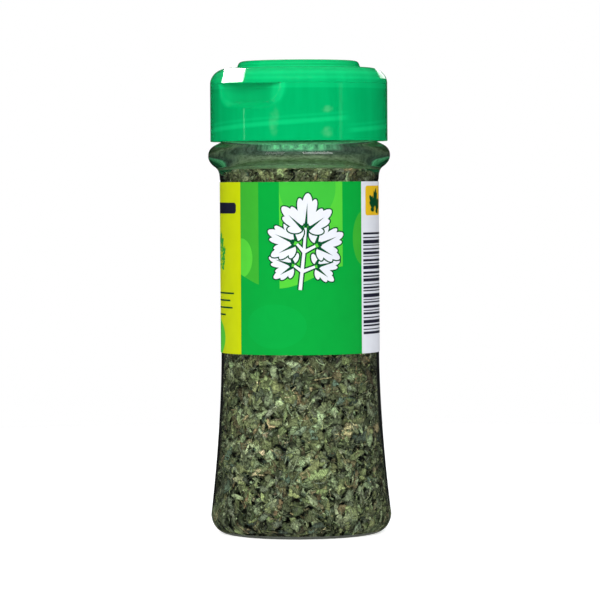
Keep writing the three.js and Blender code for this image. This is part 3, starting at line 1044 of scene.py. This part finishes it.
# Seal ring
# A soft ring of white foamed plastic, pressed under the cap's deck, that closes on the glass lip.
# It rises with the cap as the thread is unscrewed.
def seal_ring():
    foam, add, inputs = principled("seal_foam", (0.86, 0.86, 0.82), 0.7)
    cells = add("TexVoronoi", add("TexCoord").outputs["Object"], Scale=2600)
    raise_surface(add, inputs, cells, 0.4, 0.0001)
    low, high, inner, outer, soft = 101.28, 101.72, 15.6, 17.2, 0.1
    line = outline(
        (inner + soft, low),
        ((outer - soft, low), 3),
        ((outer, low), (outer, low), (outer, low + soft), 3),
        ((outer, high - soft), 2),
        ((outer, high), (outer, high), (outer - soft, high), 3),
        ((inner + soft, high), 3),
        ((inner, high), (inner, high), (inner, high - soft), 3),
        ((inner, low + soft), 2),
        ((inner, low), (inner, low), (inner + soft, low), 3),
    )
    vertices, faces, uvs = spin(line, even_turns(96))
    ring = make_piece("seal_ring_foam", vertices, faces, [foam], sharp=50, uvs=uvs)
    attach(ring, "screw_carrier")
    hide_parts("seal_ring")


seal_ring()

# Cap base
# Translucent green polypropylene, moulded in one: a plain skirt with an inner thread, a deck with
# seven sifter holes, a stepped rim that the lid snaps on and a thumb recess pressed into the front.
FRONT, BACK = -90, 90
CAP_TURN = -36
CAP_RADIUS = 21.1
CAP_BOTTOM = 93.4
SKIRT_INNER = 19.8
DECK_BOTTOM = 101.8
DECK_TOP = 102.9
PARTING = 106.95
SPIGOT_RADIUS = 20.15
SPIGOT_TOP = 107.8
RIM_INNER = 19.4
RECESS_HALF = 9.9
RECESS_BOTTOM = 101.1
RECESS_CORNER = 5
RECESS_BACK = 19
RECESS_WALL = 0.8
RECESS_SLOPE, RECESS_EDGE = 1.5, 0.16
RECESS_REACH = 40
HINGE_FLAT = 20.3
HINGE_FLAT_LOW = 105
HINGE_FLAT_HIGH = 108.8
SKIRT_LIGHT = 0.38
CAP_RIB_HALF, CAP_RIB_RADIUS = 0.85, 18.25


def green_plastic():
    """Painted light: lighter green where the wall is thick or lit from inside, by the light painted
    on each point as shine-through, and pale painted reflections.
    """
    green, add, inputs = principled(
        "green_plastic", (0.0, 0.55, 0.18), 0.07, Transmission_Weight=0.22, IOR=1.49
    )
    place = add("TexCoord").outputs["Object"]
    noted = add("SeparateColor", add("Attribute", attribute_name="shine_through")).outputs
    flow = add("TexNoise", add("Mapping", place, Scale=(1, 1, 0.12)), Scale=420, Detail=3)
    faint = add("MapRange", flow, 0.3, 0.75, -0.06, 0.08)
    through = add("Math", noted["Red"], faint, operation="ADD", use_clamp=True)
    # Darker to lighter green, by the painted light noted on each point
    steps = [(0.0, (0.0, 0.34, 0.07)), (0.35, (0.0, 0.49, 0.145)), (1.0, (0.006, 0.77, 0.25))]
    blotches = add("MapRange", add("TexNoise", place, Scale=210, Detail=3), 0.36, 0.66, 0, 0.75)
    # Pale blotches of painted reflection, where the glass neck behind the wall mirrors the lamps
    reflection_mix = add("Mix", data_type="RGBA", A=color_steps(add, through, steps))
    feed(reflection_mix.inputs["B"], (0.12, 0.62, 0.25, 1))
    with_painted_light = add("Math", blotches, noted["Green"], operation="MULTIPLY")
    feed(reflection_mix.inputs["Factor"], with_painted_light)
    feed(inputs["Base Color"], reflection_mix.outputs["Result"])
    raise_surface(add, inputs, flow, 0.1, 0.0002)
    return green


def away_from(side, angle):
    """Degrees from the front or the back of the cap, either way round."""
    return (angle - side + 180) % 360 - 180


def shine_through(piece, amount, painted_light=lambda angle, height: 0):
    """Notes on each point how much painted light shows through the wall there and how much painted
    reflection.
    """
    layer = piece.data.color_attributes.new("shine_through", "FLOAT_COLOR", "POINT")
    values = []
    for vertex in piece.data.vertices:
        x, y, z = (c / MM for c in vertex.co)
        angle = math.degrees(math.atan2(y, x)) - CAP_TURN
        value = amount(math.hypot(x, y), angle, z)
        values += [value, painted_light(angle, z), 0, 1]
    layer.data.foreach_set("color", values)


cap_green = green_plastic()


def softer_least(a, b, blend):
    """The smaller of two lengths, with the corner between them rounded."""
    h = max(blend - abs(a - b), 0) / blend
    return min(a, b) - h * h * blend / 4


def smooth_step(low, high, value):
    t = min(1, max(0, (value - low) / (high - low)))
    return t * t * (3 - 2 * t)


def past_recess(height, away, margin=0.0):
    """How far a spot of the wall lies outside the U of the thumb recess, or inside if negative."""
    x = CAP_RADIUS * math.sin(math.radians(away))
    corner = RECESS_CORNER + margin
    dx = abs(x) - RECESS_HALF - margin + corner
    dz = RECESS_BOTTOM - margin - height + corner
    return math.hypot(max(dx, 0), max(dz, 0)) + min(max(dx, dz), 0) - corner


def pressed_in(radius, height, angle, margin):
    """The wall's radius where the U of the thumb recess is pressed into the front of the cap."""
    away = away_from(FRONT, angle)
    if abs(away) > RECESS_REACH:
        return radius
    outside = past_recess(height, away, margin)
    depth = 1 - smooth_step(-RECESS_EDGE if margin else -RECESS_SLOPE, RECESS_EDGE, outside)
    plane = softer_least(radius, (RECESS_BACK - margin) / math.cos(math.radians(away)), 0.12)
    return radius + (plane - radius) * depth


def hinge_flattened(radius, height, angle):
    away = away_from(BACK, angle)
    if abs(away) > 25 or not HINGE_FLAT_LOW - 0.3 < height < HINGE_FLAT_HIGH + 0.3:
        return radius
    plane = softer_least(radius, HINGE_FLAT / math.cos(math.radians(away)), 0.1)
    depth = smooth_step(HINGE_FLAT_LOW - 0.15, HINGE_FLAT_LOW + 0.15, height)
    depth *= 1 - smooth_step(HINGE_FLAT_HIGH - 0.15, HINGE_FLAT_HIGH + 0.15, height)
    return radius + (plane - radius) * depth


def cap_turns():
    """Columns round the cap, close together at the recess and at the hinge."""
    turns = []
    angle = 0.0
    while angle < 360:
        turns.append(angle)
        near = abs(away_from(FRONT, angle)) < 31 or abs(away_from(BACK, angle)) < 20
        angle += 0.75 if near else 2.0
    return turns


def cap_base():
    turns = cap_turns()
    low = CAP_BOTTOM
    ledge = PARTING - 0.01
    line = outline(
        (SKIRT_INNER, 94.1),
        ((SKIRT_INNER, 93.6), (19.9, low), (20.1, low), 4),
        ((CAP_RADIUS - 0.2, low), 2),
        ((21, low), (CAP_RADIUS, 93.45), (CAP_RADIUS, 93.65), 4),
        ((CAP_RADIUS, 100.7), 26),
        ((CAP_RADIUS, 102.1), 14),
        ((CAP_RADIUS, ledge - 0.12), 28),
        ((21.1, ledge), (21.05, ledge), (20.95, ledge), 3),
        ((SPIGOT_RADIUS + 0.1, ledge), 3),
        ((20.1175, 107.1675), 1),
        ((20.02, SPIGOT_TOP - 0.25), 3),
        ((20, SPIGOT_TOP), (19.6, SPIGOT_TOP), (RIM_INNER + 0.1, 107.7), 5),
        ((RIM_INNER, 107.34375), 1),
        ((RIM_INNER, 103.5), 15),
        ((19.4, 103), (19.2, DECK_TOP), (18.9, DECK_TOP), 4),
    )
    inner_line = outline(
        (19, DECK_BOTTOM),
        ((19.4, 101.8), (19.8, 101.5), (SKIRT_INNER, 101), 5),
        ((SKIRT_INNER, 94.1), 38),
    )

    def wall(radius, height, angle):
        if radius > 20.5 or height > ledge - 0.01 and radius > 19.9:
            radius = pressed_in(radius, height, angle, 0)
            radius = hinge_flattened(radius, height, angle)
        elif height > DECK_TOP - 0.01:
            radius = pressed_in(radius, height, angle, RECESS_WALL)
        return radius, height

    start = GLASS_THREAD_START + 30 - CAP_TURN
    rib_height = GLASS_THREAD_HEIGHT + THREAD_LEAD * (30 / 360 - 0.5 / THREAD_STARTS)

    def socket(radius, height, angle):
        radius = pressed_in(radius, height, angle, RECESS_WALL)
        if radius > 19.7:
            rise = SKIRT_INNER - CAP_RIB_RADIUS
            radius -= thread_rise(angle, height, start, rib_height, CAP_RIB_HALF, rise)
        return radius, height

    def amount(radius, angle, height):
        """More painted light shows through beside the thread, painted highlights on the recess's
        slope and upper right, and painted light inside the recess and at the rim, where shade
        falls.
        """
        rib = thread_rise(angle, height, start, rib_height + 0.1, 0.7, 0.34)
        rib += 0.5 * thread_rise(angle, height, start, rib_height + 1.4, 0.4, 0.3)
        away = away_from(FRONT, angle)
        outside = past_recess(height, away) if abs(away) < RECESS_REACH else 9
        slope = 0.14 * smooth_step(-1.3, -0.9, outside) * (1 - smooth_step(-0.5, 0, outside))
        inside = 0.16 * (1 - smooth_step(-1.4, -0.6, outside))
        glint = 0.26 * smooth_step(-4.2, -2.6, outside) * (1 - smooth_step(-0.6, 0.6, outside))
        glint *= smooth_step(15, 20, away) * smooth_step(101.8, 103, height)
        rim = 0.22 * smooth_step(105.6, 105.85, height)
        return SKIRT_LIGHT + rib + slope + inside + glint + rim

    # Painted reflections of the lamps in the glass neck, seen through the wall: how far round from
    # the front, how high, how wide, how tall
    reflection_spots = [(-15.8, 98, 3.6, 3.4), (18.4, 100.8, 3.4, 0.9), (18.6, 95.4, 3.8, 1.3)]

    def painted_light(angle, height):
        away = away_from(FRONT, angle + CAP_TURN)
        most = 0
        for side, level, wide, tall in reflection_spots:
            spread = math.hypot((away - side) / wide, (height - level) / tall)
            most = max(most, 1 - smooth_step(0.45, 1.25, spread))
        return most

    outer = spin(line, turns, wall)[:2]
    inner = spin(inner_line, turns, socket)[:2]
    vertices, faces = [], []
    for points, sides in [outer, inner] + cap_deck(outer[0][-len(turns):], inner[0][:len(turns)]):
        first = len(vertices)
        vertices += points
        faces += [tuple(first + i for i in face) for face in sides]
    base = make_piece("cap_base_green", vertices, faces, [cap_green], sharp=50, turn=CAP_TURN)
    weld(base)
    shine_through(base, amount, painted_light)
    skirt_parts.objects.link(base)
    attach(base, "cap")
    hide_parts("cap_base")


def weld(piece):
    """Joins the points that lie in one place, so that the walls and the deck are one body."""
    body = bmesh.new()
    body.from_mesh(piece.data)
    bmesh.ops.remove_doubles(body, verts=body.verts, dist=2e-6)
    body.to_mesh(piece.data)
    body.free()


def cap_deck(top_ring, bottom_ring):
    """The deck between the two rings, with a middle hole and six round it, edges softened."""
    holes = [(0, 0, 3.3)]
    for i in range(6):
        a = math.radians(i * 60)
        holes.append((8.6 * math.cos(a), 8.6 * math.sin(a), 2.5))
    soft, sides = 0.18, 40
    parts = []

    def circle(hole, grow):
        x, y, radius = hole
        return oval(x, y, radius + grow, radius + grow, sides)

    for ring, height, up in ((top_ring, DECK_TOP, True), (bottom_ring, DECK_BOTTOM, False)):
        points = [p[:2] for p in ring]
        edges = [(i, (i + 1) % len(ring)) for i in range(len(ring))]
        for hole in holes:
            first = len(points)
            points += circle(hole, soft)
            edges += [(first + i, first + (i + 1) % sides) for i in range(sides)]
        flat = delaunay_2d_cdt([Vector(p) for p in points], edges, [], 1, 1e-5, False)
        kept = []
        for corners in flat[2]:
            x, y = (sum(flat[0][i][axis] for i in corners) / 3 for axis in (0, 1))
            if all(math.hypot(x - h[0], y - h[1]) > h[2] for h in holes):
                kept.append(tuple(corners) if up else tuple(reversed(corners)))
        parts.append(([(x, y, height) for x, y in flat[0]], kept))
    rounded = [(soft, 0), (soft * 0.3, soft * 0.3), (0, soft)]
    levels = [(grow, DECK_TOP - away) for grow, away in rounded]
    levels += [(grow, DECK_BOTTOM + away) for grow, away in reversed(rounded)]
    for hole in holes:
        points = [(x, y, level) for grow, level in levels for x, y in circle(hole, grow)]
        parts.append((points, tube_faces(0, len(levels), sides)))
    return parts


cap_base()

# Flip lid
# The same green plastic: a thin wall, a rounded shoulder and a raised round platform, with a rib
# underneath that closes round the sifter holes. It snaps on the cap's rim and turns on the hinge.
LID_INNER = 20.45
SHOULDER_WIDTH = 4.1
SHOULDER_TOP = 110.8
PLATFORM_FOOT = 14.8
PLATFORM_RADIUS = 12.9
PLATFORM_TOP = 112.5
SHOULDER_START = PARTING + 0.11
ROOM_REACH = 900
mirroring_parts = bpy.data.collections.new("mirroring_parts")


def mirrored_spot(across, up):
    """The place in the room that the eye sees in the lid's shoulder, so far across and up."""
    tall = SHOULDER_TOP - SHOULDER_START
    a = math.asin(up / tall)
    radius = CAP_RADIUS - SHOULDER_WIDTH * (1 - math.cos(a))
    turn = math.asin(max(-0.985, min(0.985, across / radius)))
    ahead = Vector((math.sin(turn), -math.cos(turn), 0))
    spot = ahead * radius + Vector((0, 0, SHOULDER_START + up))
    square = ahead * tall * math.cos(a) + Vector((0, 0, SHOULDER_WIDTH * math.sin(a)))
    square.normalize()
    way = (spot - EYE / MM).normalized()
    return spot + (way - 2 * way.dot(square) * square) * ROOM_REACH


def lid_window(name, low_left, low_right, high_left, high_right, brightness):
    """A bent bright window, mirrored in the shoulder between four corners across and up it."""
    rows, columns = 24, 10
    vertices = []
    for v in np.linspace(0, 1, rows):
        for u in np.linspace(0, 1, columns):
            low = np.array(low_left) * (1 - u) + np.array(low_right) * u
            high = np.array(high_left) * (1 - u) + np.array(high_right) * u
            vertices.append(mirrored_spot(*(low * (1 - v) + high * v)))
    corners = [i * columns + k for i in range(rows - 1) for k in range(columns - 1)]
    faces = [(a, a + 1, a + columns + 1, a + columns) for a in corners]
    glow = principled(
        name + "_glow", (0, 0, 0), 1, Emission_Color=(1, 1, 1, 1), Emission_Strength=brightness
    )[0]
    window = make_piece(name, vertices, faces, [glow], flat=True)
    window.visible_camera = False
    window.visible_diffuse = False
    window.visible_shadow = False
    window.visible_transmission = False
    window.light_linking.receiver_collection = mirroring_parts


lid_window("left_window", (-18.1, 0.05), (-13.0, 0.05), (-17.2, 3.6), (-12.5, 3.35), 26)
lid_window("right_window", (19.25, 1.05), (21.1, 1.05), (18.1, 3.55), (18.6, 3.55), 2.6)


def flip_lid():
    low = PARTING + 0.01
    roof = SHOULDER_TOP - 1.1
    start = SHOULDER_START
    line = outline(
        (0, roof + 0.05),
        ((8, roof + 0.03), 1),
        ((14.8, roof), 1),
        ((15.2, roof), (15.4, roof - 0.2), (15.42, roof - 0.6), 3),
        ((15.55, 103.5), 6),
        ((15.6, 103.3), (16, 103.3), (16.05, 103.5), 4),
        ((16.2, roof - 0.6), 6),
        ((16.2, roof), (16.3, roof), (16.8, roof), 3),
        ((19, roof - 0.1), (20.1, 108.9), (20.1, 108.2), 7),
        ((20.1, 108), (LID_INNER, 108.1), (LID_INNER, 107.9), 3),
        ((LID_INNER + 0.02, low + 0.08), 4),
        ((20.5, low), (20.5, low), (20.55, low), 2),
        ((CAP_RADIUS - 0.1, low), 2),
        ((21.06, low), (CAP_RADIUS, low + 0.02), (CAP_RADIUS, start), 3),
    )
    for i in range(1, 49):
        a = math.radians(i * 90 / 48)
        line.append((
            CAP_RADIUS - SHOULDER_WIDTH * (1 - math.cos(a)),
            start + (SHOULDER_TOP - start) * math.sin(a),
        ))
    line += outline(line[-1], ((15.2, SHOULDER_TOP), 3), ((0, SHOULDER_TOP), 4))[1:]
    foot, top = PLATFORM_FOOT, PLATFORM_TOP
    rise = outline(
        (0, SHOULDER_TOP),
        ((foot + 0.4, SHOULDER_TOP), 1),
        ((foot + 0.1, 110.8), (foot - 0.1, 110.9), (foot - 0.2, 111.2), 5),
        ((foot - 0.4, top - 0.8), 2),
        ((14.3, 112.15), (13.9, top), (PLATFORM_RADIUS, top), 8),
        ((2.2, top), 6),
        ((1.9, top), (1.8, top - 0.25), (1.5, top - 0.25), 4),
    )
    rise += [(0.8, top - 0.25), (0.7, top - 0.1), (0.4, top - 0.05), (0, top - 0.07)]

    def flats(radius, height, angle):
        if radius > 20.2:
            radius = hinge_flattened(radius, height, angle)
        return radius, height

    # Painted light and shade on the lid: the shoulder darker towards its top with faint bands, the
    # platform lighter in rings
    def amount(radius, angle, height):
        if height > SHOULDER_TOP:
            return 0.68 + 0.22 * math.cos((height - 111.7) * 7.5)
        return 0.66 - 0.12 * smooth_step(109.5, 110.8, height) + 0.08 * math.cos(height * 5)

    for name, shell in (("flip_lid_shell", line), ("flip_lid_platform", rise)):
        vertices, faces, uvs = spin(shell, cap_turns(), flats)
        lid = make_piece(name, vertices, faces, [cap_green], sharp=50, turn=CAP_TURN, uvs=uvs)
        shine_through(lid, amount)
        if shell is line:
            mirroring_parts.objects.link(lid)
        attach(lid, "lid")
        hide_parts("flip_lid")


flip_lid()

# Living hinge
# A thin web of the same plastic, moulded with both halves of the cap across the parting line
# opposite the thumb recess. It is thinnest at the parting line, where it bends.
HINGE_WIDTH = 10
HINGE_OUTSIDE = 20.9
HINGE_INSIDE = 20.38


def living_hinge():
    rows = [(z, HINGE_OUTSIDE) for z in np.linspace(105.2, 106.3, 5)]
    for z in np.linspace(106.4, 107.5, 13):
        rows.append((z, 20.62 + 0.28 * min(1, abs(z - PARTING) / 0.65) ** 2))
    rows += [(z, HINGE_OUTSIDE) for z in np.linspace(107.6, 108.5, 5)]
    across = np.linspace(-HINGE_WIDTH / 2, HINGE_WIDTH / 2, 15)
    wide, tall = len(across), len(rows)
    ring = 2 * wide
    vertices = []
    for z, outer in rows:
        vertices += [(x, outer, z) for x in across[::-1]] + [(x, HINGE_INSIDE, z) for x in across]
    faces = tube_faces(0, tall, ring)
    for k in range(wide - 1):
        strip = (wide - 1 - k, wide - 2 - k, wide + k + 1, wide + k)
        faces.append(strip)
        faces.append(tuple((tall - 1) * ring + i for i in strip[::-1]))
    web = make_piece("living_hinge_web", vertices, faces, [cap_green], sharp=50, turn=CAP_TURN)
    shine_through(web, lambda radius, angle, height: 0.6)
    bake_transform(web)
    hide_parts("living_hinge")


living_hinge()
